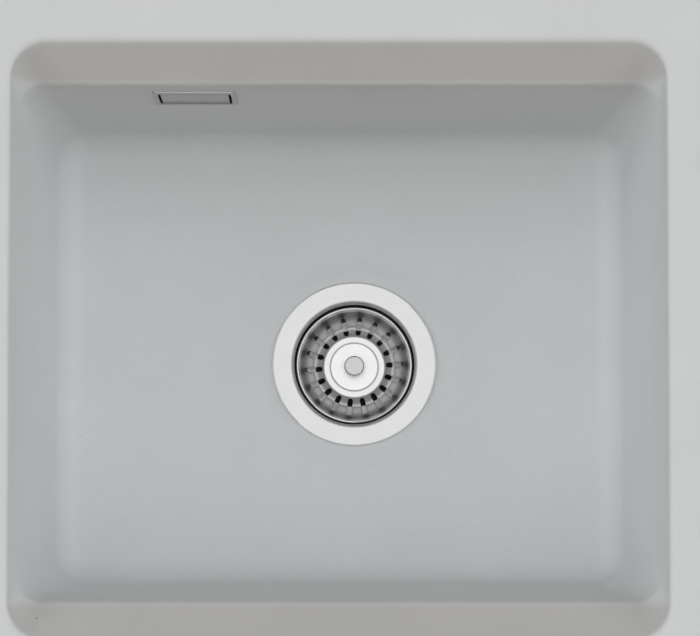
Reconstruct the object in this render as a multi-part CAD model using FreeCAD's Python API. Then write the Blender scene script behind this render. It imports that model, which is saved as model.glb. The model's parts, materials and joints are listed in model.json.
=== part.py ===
"""Undermount kitchen sink: composite bowl, basket strainer waste, overflow and fixing clips.

Frame: origin at the centre of the bowl's opening, in the plane of the flange's top,
+X right, +Y to the back wall that holds the overflow, +Z up. All sizes are in millimetres.
"""
import FreeCAD, Part
import math
import os

V = FreeCAD.Vector
X_AXIS, Y_AXIS, Z_AXIS = V(1, 0, 0), V(0, 1, 0), V(0, 0, 1)

# ---------------------------------------------------------------- driving sizes: bowl
OPENING_X = 403.0            # bowl opening in the flange's top plane
OPENING_Y = 369.4
OPENING_CORNER = 23.0
RIM_ROUND = 4.0              # rounding of the opening's edge
FLANGE_WIDTH = 30.0
FLANGE_CORNER = 25.0
FLANGE_THICKNESS = 12.0
FLANGE_EDGE_ROUND = 2.0
WALL = 9.0                   # thickness of the walls, measured level
SHOULDER_DEPTH = 30.0        # the front and back walls slope in down to here
SHOULDER_RUN = 23.7          # how far they slope in
SHOULDER_CORNER = 15.0
DRAFT = 0.0447               # lean of every wall below the shoulder, mm per mm
BOWL_DEPTH = 200.0           # flange top to the floor beside the waste
FLOOR_ROUND = 20.0           # fillet from wall to floor
FLOOR_CORNER = FLOOR_ROUND + 3.0     # plan corner of the walls where they meet the floor
FLOOR_BALL = 6000.0          # the floor is a very flat dish of this radius, so water runs to the waste
FLOOR_THICKNESS = 12.0

# ---------------------------------------------------------------- driving sizes: waste
DRAIN_X, DRAIN_Y = 10.0, -4.0
SEAT_MARGIN = 3.0            # flat seat beyond the waste's flange
SEAT_DEPTH = 2.5
SEAT_SLOPE_RUN = 14.0        # soft edge round the seat
GASKET_UPPER = 1.2
GASKET_LOWER = 2.5
GASKET_LOWER_WIDTH = 10.5
GASKET_MARGIN = 1.0          # gaskets end this far short of the flange or hole beside them
CUP_SHEET = 1.2              # steel of the cup
CUP_FLANGE_WIDTH = 15.2      # from the cup's mouth to the flange's edge
CUP_LIP_ROUND = 3.5
CUP_MOUTH_R = 41.8
CUP_HOLE_CLEARANCE = 2.0     # cup to the hole in the bowl
CUP_BODY_CLEARANCE = 1.5     # cup to the waste body
CUP_LEDGE_DEPTH = 16.4       # the basket's rim rests on this ledge
CUP_BOTTOM_MARGIN = 8.7      # cup's bottom beyond the seal
SEAL_OVERLAP = 3.8           # seal on its seat
CUP_HUB_R = 12.0
CUP_HUB_SPARE = 2.0          # top of the centre screw to the seat's level
CUP_PORTS = 6
CUP_PORT_R = 3.6

# ---------------------------------------------------------------- driving sizes: basket and plug
BASKET_SHEET = 0.6
RIM_BEAD_WIDTH = 1.7
RIM_BEAD_HEIGHT = 2.4
RIM_CLEARANCE = 1.3          # basket rim to cup wall
LEDGE_CLEARANCE = 0.35       # basket wall to the ledge's edge
STEEP_RUN = 3.5              # how far the steep wall leans in
STEEP_DEPTH = 31.0
SLOPE_RUN = 7.3              # sloping side between the steep wall and the trough
TROUGH_DEPTH = 41.5
PLATEAU_R = 21.25
PLATEAU_RISE = 3.0
SLOT_COUNT = 18
SLOT_WIDTH = 3.6
SLOT_INNER_MARGIN = 1.15     # slot ends from the plateau and from the steep wall
SLOT_OUTER_MARGIN = 0.4
SLOT_FIRST_ANGLE = 3.5       # degrees
DISC_R = 16.9
DISC_THICKNESS = 1.0
GUIDE_WALL = 2.45
GUIDE_FOOT_WIDTH = 2.5
GUIDE_FOOT = 1.2
GUIDE_ABOVE = 7.5            # guide above and below the plateau
GUIDE_BELOW = 3.8

STEM_R = 3.0
RUNNING_CLEARANCE = 0.05     # stem in its guide, and tip in the centre screw
THREAD_CLEARANCE = 0.05      # screws in their threads, and pieces on the stem
PLUG_LIFT = 8.0
LIFT_SPARE = 0.9             # raised plug to the guide
KNOB_R = 7.0
KNOB_HEIGHT = 8.0
KNOB_CAP = 3.6
KNOB_NECK_WALL = 2.0
KNOB_GAP = 0.5               # pushed-down knob to the guide's top
KNOB_TOP_WALL = 1.4          # metal over the stem's end
O_RING_TUBE_R = 0.6
O_RING_ABOVE = 2.3           # O-ring above the guide's lower end, when the plug is down
SEAL_R = 27.3
SEAL_LIP = 3.0
SEAL_HEIGHT = 6.0
SEAL_PLATE_R = 18.0
SEAL_PLATE = 1.2
STEM_COLLAR_WIDTH = 2.0
STEM_COLLAR = 1.6
STEM_NUT_FLATS = 12.0
STEM_NUT = 3.6
NUT_POCKET_CLEARANCE = 0.5
NUT_ABOVE_SEAT = 0.5
TIP_R = 2.0
TIP_IN_SCREW = 10.0          # tip below the centre screw's top, when the plug is down

# ---------------------------------------------------------------- driving sizes: waste body
SCREW_R = 4.0
SCREW_HEAD_R = 8.0
SCREW_HEAD = 6.0
SCREW_BEYOND = 3.0           # screw's end beyond its insert
INSERT_WALL = 3.0
INSERT_HEIGHT = 12.0
HUB_RIB = 2.5
HUB_WALL = 4.0
HUB_BELOW_CUP = 16.0
BODY_FLANGE = 5.0
BODY_WALL = 3.0
BODY_BELOW_CUP = 8.0         # straight part of the body below the cup
CONE_LENGTH = 26.0
OUTLET_R = 23.9              # G 1 1/2 male thread
OUTLET_WALL = 3.4
OUTLET_LENGTH = 26.0

# ---------------------------------------------------------------- driving sizes: overflow
OVERFLOW_X = -92.0
OVERFLOW_DEPTH = 66.0        # flange top to the overflow's centre
COVER_X, COVER_Z = 43.4, 27.0
COVER_SHEET = 1.2
COVER_SIDE_GAP = 1.5         # water enters here
COVER_LONG_GAP = 0.6
BEZEL_SIDE, BEZEL_LONG = 3.15, 4.9
BEZEL_SHEET = 1.2
BEZEL_CORNER = 3.0
SLEEVE_SHEET = 0.8
SLEEVE_CLEARANCE = 0.3
SLEEVE_BEYOND = 0.5          # sleeve's end beyond the wall
BAR_WIDTH = 12.0
BAR_SHEET = 1.5
LEG_WIDTH = 6.0
LEG_SHEET = 0.6
LEG_DEPTH = 7.5
LEG_INSET = 7.7              # leg's middle from the plate's short side
LEG_CLEARANCE = 0.15
OVERFLOW_SCREW_R = 2.5
OVERFLOW_SCREW_HEAD_R = 4.6
OVERFLOW_SCREW_HEAD = 2.6
OVERFLOW_SCREW_DRIVE = 1.2
OVERFLOW_SCREW_LENGTH = 16.0
OVERFLOW_GASKET = 2.5
GASKET_BORDER = 6.0          # gasket and housing flange beyond the sleeve
HOUSING_FLANGE = 3.0
HOUSING_FLANGE_WIDTH = 3.0
HOUSING_CORNER = 6.0
HOUSING_DEPTH = 30.0
HOUSING_WALL = 2.5
BOSS_WALL = 2.5
SPOUT_LENGTH = 24.0

# ---------------------------------------------------------------- driving sizes: hose
HOSE_BORE_R = 9.5
HOSE_WALL = 1.4
HOSE_RIB = 1.6
HOSE_BEND = 50.0
HOSE_RIB_PITCH = 4.5
HOSE_NECK = 12.0             # plain ends, held by the nuts
HOSE_CUFF = 3.0
HOSE_CUFF_STEP = 0.5         # cuff and spouts beyond the ribs
HOSE_SEAL = 2.0
INLET_LENGTH = 20.0
INLET_GAP = 5.6              # nut below the waste body's flange
NUT_WALL = 3.9
NUT_OVER_SPOUT = 9.0
NUT_LIP = 3.0
NUT_CLEARANCE = 0.1
NUT_GRIPS = 12
NUT_GRIP_R = 1.6

# ---------------------------------------------------------------- driving sizes: clips
SIDE_CLIP_SPAN = 220.0       # between the two clips of the left or right side
END_CLIP_SPAN = 260.0        # between the two clips of the front or back side
CLIP_WIDTH = 20.0
CLIP_SHEET = 2.5
CLIP_BITE = 12.0             # under the flange
CLIP_SCREW_OUT = 12.0        # screw's axis beyond the flange's edge
CLIP_HEEL_OUT = 16.0         # clip's end beyond the screw's axis
CLIP_SLOT_LENGTH = 14.0
CLIP_SLOT_CLEARANCE = 0.3
CLIP_SCREW_R = 3.0
CLIP_SCREW_HEAD_FLATS = 10.0
CLIP_SCREW_HEAD = 4.0
WASHER_WIDTH = 3.4
WASHER_SHEET = 1.6
CLIP_INSERT_WALL = 1.7
CLIP_INSERT_LENGTH = 12.0
CLIP_INSERT_BORE = 5.5       # blind thread
CLIP_SCREW_SHORT = 0.5       # screw's end short of the thread's

# ---------------------------------------------------------------- levels and places worked out
EPS = 0.01
FLOOR_Z = -BOWL_DEPTH
SEAT_Z = FLOOR_Z - SEAT_DEPTH
UNDERSIDE_Z = FLOOR_Z - FLOOR_THICKNESS
WASTE_TOP = SEAT_Z + GASKET_UPPER + CUP_SHEET
DRAIN = V(DRAIN_X, DRAIN_Y, 0)
LEAN = math.atan(DRAFT)
WALL_NORMAL = WALL * math.cos(LEAN)
CUP_FLANGE_R = CUP_MOUTH_R + CUP_FLANGE_WIDTH
SEAT_R = CUP_FLANGE_R + SEAT_MARGIN
DRAIN_HOLE_R = CUP_MOUTH_R + CUP_SHEET + CUP_HOLE_CLEARANCE
GASKET_LOWER_R = DRAIN_HOLE_R + GASKET_MARGIN / 2 + GASKET_LOWER_WIDTH
BODY_INNER_R = CUP_MOUTH_R + CUP_SHEET + CUP_BODY_CLEARANCE
BODY_FLANGE_R = GASKET_LOWER_R + GASKET_MARGIN

# basket: radii from the cup's mouth inwards, depths below the waste's flange
BEAD_R = CUP_MOUTH_R - RIM_CLEARANCE
BASKET_TOP_R = BEAD_R - RIM_BEAD_WIDTH
CUP_LEDGE_R = BASKET_TOP_R + BASKET_SHEET + LEDGE_CLEARANCE
STEEP_R = BASKET_TOP_R - STEEP_RUN
TROUGH_OUTER_R = STEEP_R - SLOPE_RUN
SLOT_INNER_R = PLATEAU_R + SLOT_INNER_MARGIN
SLOT_OUTER_R = STEEP_R - SLOT_OUTER_MARGIN
PLATEAU_DEPTH = TROUGH_DEPTH - PLATEAU_RISE
GUIDE_BORE_R = STEM_R + RUNNING_CLEARANCE
GUIDE_R = GUIDE_BORE_R + GUIDE_WALL
GUIDE_TOP_DEPTH = PLATEAU_DEPTH - GUIDE_ABOVE
GUIDE_BOTTOM_DEPTH = PLATEAU_DEPTH + GUIDE_BELOW

# plug and waste body: each depth from the one above it
STEM_HOLE_R = STEM_R + THREAD_CLEARANCE
KNOB_LOW = -GUIDE_TOP_DEPTH + KNOB_GAP
KNOB_HIGH = KNOB_LOW + KNOB_HEIGHT
O_RING_DEPTH = GUIDE_BOTTOM_DEPTH - O_RING_ABOVE
COLLAR_TOP_DEPTH = GUIDE_BOTTOM_DEPTH + LIFT_SPARE + PLUG_LIFT
SEAL_TOP_DEPTH = COLLAR_TOP_DEPTH + STEM_COLLAR + SEAL_PLATE
CUP_DEPTH = SEAL_TOP_DEPTH + SEAL_HEIGHT
NUT_LOW = -CUP_DEPTH + NUT_ABOVE_SEAT
CUP_BOTTOM_R = SEAL_R + CUP_BOTTOM_MARGIN
CUP_SEAT_INNER_R = SEAL_R - SEAL_OVERLAP
CUP_HUB_DEPTH = CUP_DEPTH + CUP_HUB_SPARE + SCREW_HEAD
TIP_END_DEPTH = CUP_HUB_DEPTH - SCREW_HEAD + TIP_IN_SCREW
HUB_TOP_DEPTH = CUP_HUB_DEPTH + CUP_SHEET + HUB_BELOW_CUP
HUB_LOW_DEPTH = HUB_TOP_DEPTH + INSERT_HEIGHT + BODY_WALL
INSERT_R = SCREW_R + THREAD_CLEARANCE + INSERT_WALL
BODY_TOP = UNDERSIDE_Z - WASTE_TOP - GASKET_LOWER
BODY_STRAIGHT_DEPTH = CUP_HUB_DEPTH + CUP_SHEET + BODY_BELOW_CUP
BODY_CONE_DEPTH = BODY_STRAIGHT_DEPTH + CONE_LENGTH
BODY_END_DEPTH = BODY_CONE_DEPTH + OUTLET_LENGTH

# overflow: sizes outwards from the cover
OVERFLOW_Y = OPENING_Y / 2 - SHOULDER_RUN - DRAFT * (OVERFLOW_DEPTH - SHOULDER_DEPTH)
WINDOW_X, WINDOW_Z = COVER_X + 2 * COVER_SIDE_GAP, COVER_Z + 2 * COVER_LONG_GAP
WINDOW_CORNER = BEZEL_CORNER - SLEEVE_SHEET
BEZEL_X, BEZEL_Z = WINDOW_X + 2 * BEZEL_SIDE, WINDOW_Z + 2 * BEZEL_LONG
SLEEVE_X, SLEEVE_Z = WINDOW_X + 2 * SLEEVE_SHEET, WINDOW_Z + 2 * SLEEVE_SHEET
SLEEVE_DEPTH = WALL_NORMAL + SLEEVE_BEYOND
WALL_SLOT_X, WALL_SLOT_Z = SLEEVE_X + 2 * SLEEVE_CLEARANCE, SLEEVE_Z + 2 * SLEEVE_CLEARANCE
HOUSING_FLANGE_X, HOUSING_FLANGE_Z = SLEEVE_X + 2 * GASKET_BORDER, SLEEVE_Z + 2 * GASKET_BORDER
HOUSING_X = HOUSING_FLANGE_X - 2 * HOUSING_FLANGE_WIDTH
HOUSING_Z = HOUSING_FLANGE_Z - 2 * HOUSING_FLANGE_WIDTH
HOUSING_FRONT = WALL_NORMAL + OVERFLOW_GASKET
HOUSING_BACK = HOUSING_FRONT + HOUSING_DEPTH

# hose: from its bore outwards
HOSE_VALLEY_R = HOSE_BORE_R + HOSE_WALL
HOSE_CREST_R = HOSE_VALLEY_R + HOSE_RIB
RIB_PROFILE = ((0.1, HOSE_VALLEY_R), (0.32, HOSE_CREST_R), (0.68, HOSE_CREST_R), (0.9, HOSE_VALLEY_R))
SPOUT_R = HOSE_CREST_R + HOSE_CUFF_STEP
NUT_R = SPOUT_R + NUT_CLEARANCE + NUT_WALL
SPOUT_AXIS = V(OVERFLOW_X, OVERFLOW_Y + (HOUSING_BACK - SPOUT_R) * math.cos(LEAN), 0)
SPOUT_TOP_Z = -OVERFLOW_DEPTH - HOUSING_Z / 2 + HOUSING_WALL
SPOUT_END_Z = -OVERFLOW_DEPTH - HOUSING_Z / 2 - SPOUT_LENGTH
INLET_Z = WASTE_TOP + BODY_TOP - BODY_FLANGE - INLET_GAP - NUT_R
INLET_END_R = BODY_INNER_R + BODY_WALL + INLET_LENGTH
HOSE_OUT = (SPOUT_AXIS - DRAIN).normalize()      # level direction from the waste to the spout
HOSE_SIDE = Z_AXIS.cross(HOSE_OUT)               # square to the plane that the hose lies in
INLET_ANGLE = math.degrees(math.atan2(HOSE_OUT.y, HOSE_OUT.x))
HOSE_START = SPOUT_AXIS + V(0, 0, SPOUT_END_Z - HOSE_SEAL)
HOSE_DOWN = HOSE_START.z - INLET_Z - HOSE_BEND
HOSE_TURN = math.pi / 2 * HOSE_BEND
HOSE_LEVEL = (SPOUT_AXIS - DRAIN).Length - HOSE_BEND - INLET_END_R - HOSE_SEAL
HOSE_LENGTH = HOSE_DOWN + HOSE_TURN + HOSE_LEVEL

# clips
CLIP_TOP, CLIP_LOW = -FLANGE_THICKNESS, -FLANGE_THICKNESS - CLIP_SHEET
CLIP_REACH = CLIP_SCREW_OUT + CLIP_HEEL_OUT
CLIP_HEAD_TOP = CLIP_LOW - WASHER_SHEET


# ---------------------------------------------------------------- shape helpers
def rounded_rectangle(size_x, size_y, corner, z=0.0):
    """A closed wire of four lines and four arcs about the Z axis, at height z."""
    a, b, r = size_x / 2, size_y / 2, corner
    turn = r * (1 - math.sqrt(0.5))
    edges = []
    for sx, sy, along_x in ((1, 1, True), (-1, 1, False), (-1, -1, True), (1, -1, False)):
        corner_mid = V(sx * (a - turn), sy * (b - turn), z)
        at_side, at_end = V(sx * a, sy * (b - r), z), V(sx * (a - r), sy * b, z)
        first, last = (at_side, at_end) if along_x else (at_end, at_side)
        if edges:
            edges.append(Part.LineSegment(edges[-1].valueAt(edges[-1].LastParameter), first).toShape())
        edges.append(Part.Arc(first, corner_mid, last).toShape())
    start = edges[0].valueAt(edges[0].FirstParameter)
    edges.append(Part.LineSegment(edges[-1].valueAt(edges[-1].LastParameter), start).toShape())
    return Part.Wire(edges)


def stacked(sections):
    """A solid through rounded rectangles, each given as (size_x, size_y, corner, z)."""
    return Part.makeLoft([rounded_rectangle(*s) for s in sections], True, True)


def rounded_block(size_x, size_y, corner, z_low, z_high):
    wire = rounded_rectangle(size_x, size_y, corner, z_low)
    return Part.Face(wire).extrude(V(0, 0, z_high - z_low))


def outline(points):
    """A closed wire in the XZ plane through (r, z) or (r, z, rounding) points."""
    n = len(points)
    corners = [V(p[0], 0, p[1]) for p in points]
    ends = []
    for i in range(n):
        here, rounding = corners[i], points[i][2] if len(points[i]) > 2 else 0
        if rounding <= 0:
            ends.append((here, here, None))
            continue
        back = (corners[i - 1] - here).normalize()
        ahead = (corners[(i + 1) % n] - here).normalize()
        half = back.getAngle(ahead) / 2
        reach = rounding / math.tan(half)
        middle = (back + ahead).normalize() * (rounding / math.sin(half) - rounding)
        ends.append((here + back * reach, here + ahead * reach, here + middle))
    edges = []
    for i in range(n):
        start, end, middle = ends[i]
        if middle is not None:
            edges.append(Part.Arc(start, middle, end).toShape())
        following = ends[(i + 1) % n][0]
        if (following - end).Length > 1e-6:
            edges.append(Part.LineSegment(end, following).toShape())
    return Part.Wire(edges)


def turned(points):
    """The solid that an outline makes turning about the Z axis."""
    return Part.Face(outline(points)).revolve(V(0, 0, 0), Z_AXIS, 360)


def sheet(path, thickness):
    """The outline of bent sheet: the path is one face, the other lies to the path's left."""
    points = [V(p[0], 0, p[1]) for p in path]
    along = [(points[i + 1] - points[i]).normalize() for i in range(len(points) - 1)]
    left = [V(-d.z, 0, d.x) for d in along]
    far = [(points[0] + left[0] * thickness, 0)]
    for i in range(1, len(points) - 1):
        spread = (left[i - 1] + left[i]) * (thickness / (1 + left[i - 1].dot(left[i])))
        turns_left = along[i - 1].x * along[i].z - along[i - 1].z * along[i].x > 0
        rounding = path[i][2] if len(path[i]) > 2 else 0
        if rounding:
            rounding = rounding - thickness if turns_left else rounding + thickness
        far.append((points[i] + spread, rounding))
    far.append((points[-1] + left[-1] * thickness, 0))
    return list(path) + [(p.x, p.z, r) for p, r in reversed(far)]


def ring(outer, inner, z_low, z_high):
    return turned([(inner, z_low), (outer, z_low), (outer, z_high), (inner, z_high)])


def rod(radius, z_low, z_high):
    return Part.makeCylinder(radius, z_high - z_low, V(0, 0, z_low))


def hexagon(flats, z_low, z_high):
    corner_r = flats / math.sqrt(3)
    points = [V(corner_r * math.cos(math.radians(60 * k)), corner_r * math.sin(math.radians(60 * k)), z_low)
              for k in range(7)]
    return Part.Face(Part.makePolygon(points)).extrude(V(0, 0, z_high - z_low))


def fuse(*shapes):
    return shapes[0].multiFuse(list(shapes[1:])).removeSplitter()


def at_waste(shape):
    """From the waste's own frame, z = 0 at its flange's top, to the sink's."""
    shape.translate(DRAIN + V(0, 0, WASTE_TOP))
    return shape


def at_overflow(shape):
    """From the overflow's frame, x along the wall, y into the wall, z up the wall, to the sink's."""
    shape.rotate(V(0, 0, 0), X_AXIS, -math.degrees(LEAN))
    shape.translate(V(OVERFLOW_X, OVERFLOW_Y, -OVERFLOW_DEPTH))
    return shape


def upright(size_x, size_z, corner, y_low, y_high):
    """A rounded block that stands in the XZ plane, from y_low to y_high."""
    block = rounded_block(size_x, size_z, corner, 0, y_high - y_low)
    block.rotate(V(0, 0, 0), X_AXIS, 90)
    block.translate(V(0, y_high, 0))
    return block


def level_rod(radius, y_low, y_high):
    return Part.makeCylinder(radius, y_high - y_low, V(0, y_low, 0), Y_AXIS)


# ---------------------------------------------------------------- bowl
def wall_sections(grow, deepest):
    """The bowl's sections from the flange plane down, grown level by grow."""
    lower_x = OPENING_X - 2 * DRAFT * SHOULDER_DEPTH
    lower_y = OPENING_Y - 2 * SHOULDER_RUN
    fall = DRAFT * (deepest - SHOULDER_DEPTH)
    return [
        (OPENING_X + 2 * grow, OPENING_Y + 2 * grow, OPENING_CORNER + grow, 0.0),
        (lower_x + 2 * grow, lower_y + 2 * grow, SHOULDER_CORNER + grow, -SHOULDER_DEPTH),
        (lower_x - 2 * fall + 2 * grow, lower_y - 2 * fall + 2 * grow, FLOOR_CORNER + grow, -deepest),
    ]


def edges_at(shape, wanted):
    return [e for e in shape.Edges if all(wanted(v.Point) for v in e.Vertexes)]


def make_bowl():
    # the hollow: walls down past the floor, ended by the flat dish of the floor
    floor_ball = Part.makeSphere(FLOOR_BALL, V(DRAIN_X, DRAIN_Y, FLOOR_Z + FLOOR_BALL), Y_AXIS)
    hollow = stacked(wall_sections(0.0, BOWL_DEPTH + 2 * SEAT_DEPTH)).common(floor_ball)
    low = FLOOR_Z + FLOOR_ROUND
    hollow = hollow.makeFillet(FLOOR_ROUND, edges_at(hollow, lambda p: p.z < low))
    # the casting round it
    body = stacked(wall_sections(WALL, -UNDERSIDE_Z))
    under = UNDERSIDE_Z + EPS
    body = body.makeFillet(FLOOR_ROUND + WALL, edges_at(body, lambda p: p.z < under))
    flange = rounded_block(OPENING_X + 2 * FLANGE_WIDTH, OPENING_Y + 2 * FLANGE_WIDTH,
                           FLANGE_CORNER, -FLANGE_THICKNESS, 0)
    flange = flange.makeFillet(FLANGE_EDGE_ROUND,
                               edges_at(flange, lambda p: abs(p.z) < EPS) +
                               edges_at(flange, lambda p: abs(p.z + FLANGE_THICKNESS) < EPS))
    bowl = body.fuse(flange).cut(hollow)
    half_x, half_y = OPENING_X / 2 + EPS, OPENING_Y / 2 + EPS
    rim = edges_at(bowl, lambda p: abs(p.z) < EPS and abs(p.x) < half_x and abs(p.y) < half_y)
    bowl = bowl.makeFillet(RIM_ROUND, rim)
    # the seat and hole of the waste, with a soft edge, and the overflow's slot
    rise = 1.5 * SEAT_DEPTH
    top_r = SEAT_R + SEAT_SLOPE_RUN * rise / SEAT_DEPTH
    seat = turned([(0, SEAT_Z), (SEAT_R, SEAT_Z), (top_r, SEAT_Z + rise), (0, SEAT_Z + rise)])
    seat.translate(DRAIN)
    hole = rod(DRAIN_HOLE_R, UNDERSIDE_Z - WALL, SEAT_Z + EPS)
    hole.translate(DRAIN)
    slot = at_overflow(upright(WALL_SLOT_X, WALL_SLOT_Z, BEZEL_CORNER + SLEEVE_CLEARANCE, -WALL, 2 * WALL))
    return bowl.cut(seat).cut(hole).cut(slot)


# ---------------------------------------------------------------- waste
def make_strainer_cup():
    path = [
        (CUP_FLANGE_R, -CUP_SHEET - GASKET_UPPER + EPS),
        (CUP_FLANGE_R, 0, CUP_SHEET + 0.4),
        (CUP_MOUTH_R, 0, CUP_LIP_ROUND),
        (CUP_MOUTH_R, -CUP_LEDGE_DEPTH, 0.6),
        (CUP_LEDGE_R, -CUP_LEDGE_DEPTH, 0.2),
        (CUP_BOTTOM_R, -CUP_DEPTH, 4.0),
        (CUP_SEAT_INNER_R, -CUP_DEPTH, 3.0),
        (CUP_HUB_R, -CUP_HUB_DEPTH, 2.0),
        (SCREW_R + CUP_SHEET / 4, -CUP_HUB_DEPTH),
    ]
    cup = turned(sheet(path, CUP_SHEET))
    ports = []
    for k in range(CUP_PORTS):
        port = rod(CUP_PORT_R, -CUP_HUB_DEPTH - 5 * CUP_SHEET, -CUP_DEPTH + EPS)
        port.translate(V((CUP_SEAT_INNER_R + CUP_HUB_R) / 2, 0, 0))
        port.rotate(V(0, 0, 0), Z_AXIS, 360 / CUP_PORTS * k)
        ports.append(port)
    return at_waste(cup.cut(ports))


def make_cup_gasket_upper():
    outer_r, top = CUP_FLANGE_R - 2 * CUP_SHEET, -CUP_SHEET
    return at_waste(ring(outer_r, DRAIN_HOLE_R + GASKET_MARGIN, top - GASKET_UPPER, top))


def make_cup_gasket_lower():
    return at_waste(ring(GASKET_LOWER_R, DRAIN_HOLE_R + GASKET_MARGIN / 2, BODY_TOP, BODY_TOP + GASKET_LOWER))


def make_waste_body():
    outer_r, outlet_bore_r = BODY_INNER_R + BODY_WALL, OUTLET_R - OUTLET_WALL
    shell = turned([
        (BODY_INNER_R, BODY_TOP), (BODY_FLANGE_R, BODY_TOP), (BODY_FLANGE_R, BODY_TOP - BODY_FLANGE, 1.5),
        (outer_r, BODY_TOP - BODY_FLANGE, 1.0), (outer_r, -BODY_STRAIGHT_DEPTH, 8.0),
        (OUTLET_R, -BODY_CONE_DEPTH, 3.0), (OUTLET_R, -BODY_END_DEPTH), (outlet_bore_r, -BODY_END_DEPTH),
        (outlet_bore_r, -BODY_CONE_DEPTH, 3.0), (BODY_INNER_R, -BODY_STRAIGHT_DEPTH, 6.0),
    ])
    # ribs that carry the hub, ended inside the shell's wall
    hub = rod(INSERT_R + HUB_WALL, -HUB_LOW_DEPTH, -HUB_TOP_DEPTH)
    half_wall = BODY_WALL / 2
    low_r, high_r = OUTLET_R - half_wall, BODY_INNER_R + half_wall
    limit = turned([(0, -BODY_END_DEPTH), (low_r, -BODY_END_DEPTH), (low_r, -BODY_CONE_DEPTH),
                    (high_r, -BODY_STRAIGHT_DEPTH), (high_r, BODY_TOP), (0, BODY_TOP)])
    ribs = []
    for k in range(2):
        rib = Part.makeBox(2 * outer_r, HUB_RIB, HUB_LOW_DEPTH - HUB_TOP_DEPTH,
                           V(-outer_r, -HUB_RIB / 2, -HUB_LOW_DEPTH))
        rib.rotate(V(0, 0, 0), Z_AXIS, INLET_ANGLE + 45 + 90 * k)
        ribs.append(rib.common(limit))
    inlet_level = INLET_Z - WASTE_TOP
    inlet = Part.makeCylinder(SPOUT_R, INLET_END_R - BODY_INNER_R, V(BODY_INNER_R, 0, inlet_level), X_AXIS)
    inlet_bore = Part.makeCylinder(HOSE_BORE_R, INLET_END_R, V(BODY_INNER_R / 2, 0, inlet_level), X_AXIS)
    for piece in (inlet, inlet_bore):
        piece.rotate(V(0, 0, 0), Z_AXIS, INLET_ANGLE)
    body = fuse(shell, inlet, hub, *ribs)
    socket = rod(INSERT_R + THREAD_CLEARANCE, -HUB_TOP_DEPTH - INSERT_HEIGHT, -HUB_TOP_DEPTH + EPS)
    screw_way = rod(SCREW_R + 2 * THREAD_CLEARANCE, -HUB_LOW_DEPTH - EPS, -HUB_TOP_DEPTH)
    return at_waste(body.cut([inlet_bore, socket, screw_way]))


def make_hub_insert():
    low = -HUB_TOP_DEPTH - INSERT_HEIGHT
    return at_waste(ring(INSERT_R, SCREW_R + THREAD_CLEARANCE, low, -HUB_TOP_DEPTH))


def make_centre_screw():
    head_top = -CUP_HUB_DEPTH + SCREW_HEAD
    head = turned([(0, -CUP_HUB_DEPTH), (SCREW_HEAD_R, -CUP_HUB_DEPTH, 0.6), (SCREW_HEAD_R, head_top, 1.2),
                   (0, head_top)])
    shank = rod(SCREW_R, -HUB_TOP_DEPTH - INSERT_HEIGHT - SCREW_BEYOND, -CUP_HUB_DEPTH + EPS)
    bore = rod(TIP_R + RUNNING_CLEARANCE, -TIP_END_DEPTH - TIP_R, head_top + EPS)
    return at_waste(fuse(head, shank).cut(bore))


# ---------------------------------------------------------------- basket
def make_basket_pan():
    bead_top, bead_round = -CUP_LEDGE_DEPTH + RIM_BEAD_HEIGHT, RIM_BEAD_WIDTH * 0.48
    bead = turned([(BASKET_TOP_R, -CUP_LEDGE_DEPTH), (BEAD_R, -CUP_LEDGE_DEPTH, 0.4),
                   (BEAD_R, bead_top, bead_round), (BASKET_TOP_R, bead_top, bead_round)])
    path = [
        (BASKET_TOP_R, bead_top - RIM_BEAD_HEIGHT / 2),
        (STEEP_R, -STEEP_DEPTH, 7.0),
        (TROUGH_OUTER_R, -TROUGH_DEPTH, 3.0),
        (PLATEAU_R, -PLATEAU_DEPTH, 1.0),
        (GUIDE_R + THREAD_CLEARANCE, -PLATEAU_DEPTH),
    ]
    pan = turned(sheet(path, BASKET_SHEET))
    # each slot is an upright rounded bar through the sloping side and the trough
    slots = []
    for k in range(SLOT_COUNT):
        slot = rounded_block(SLOT_OUTER_R - SLOT_INNER_R, SLOT_WIDTH, SLOT_WIDTH / 2 - EPS,
                             -TROUGH_DEPTH - 5 * BASKET_SHEET, -STEEP_DEPTH + 10 * BASKET_SHEET)
        slot.translate(V((SLOT_OUTER_R + SLOT_INNER_R) / 2, 0, 0))
        slot.rotate(V(0, 0, 0), Z_AXIS, SLOT_FIRST_ANGLE + 360 / SLOT_COUNT * k)
        slots.append(slot)
    return at_waste(fuse(pan.cut(slots), bead))


def make_basket_disc():
    top = -PLATEAU_DEPTH + DISC_THICKNESS
    hole_r = GUIDE_R + THREAD_CLEARANCE
    return at_waste(turned([(hole_r, -PLATEAU_DEPTH), (DISC_R - DISC_THICKNESS / 2, -PLATEAU_DEPTH),
                            (DISC_R, -PLATEAU_DEPTH + DISC_THICKNESS / 4), (DISC_R, top, DISC_THICKNESS / 2),
                            (hole_r, top)]))


def make_stem_guide():
    foot_top = -PLATEAU_DEPTH - BASKET_SHEET
    foot_r = GUIDE_R + GUIDE_FOOT_WIDTH
    return at_waste(turned([
        (GUIDE_BORE_R, -GUIDE_BOTTOM_DEPTH), (GUIDE_R, -GUIDE_BOTTOM_DEPTH, 0.4),
        (GUIDE_R, foot_top - GUIDE_FOOT), (foot_r, foot_top - GUIDE_FOOT), (foot_r, foot_top),
        (GUIDE_R, foot_top), (GUIDE_R, -GUIDE_TOP_DEPTH, 0.8), (GUIDE_BORE_R, -GUIDE_TOP_DEPTH)]))


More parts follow.
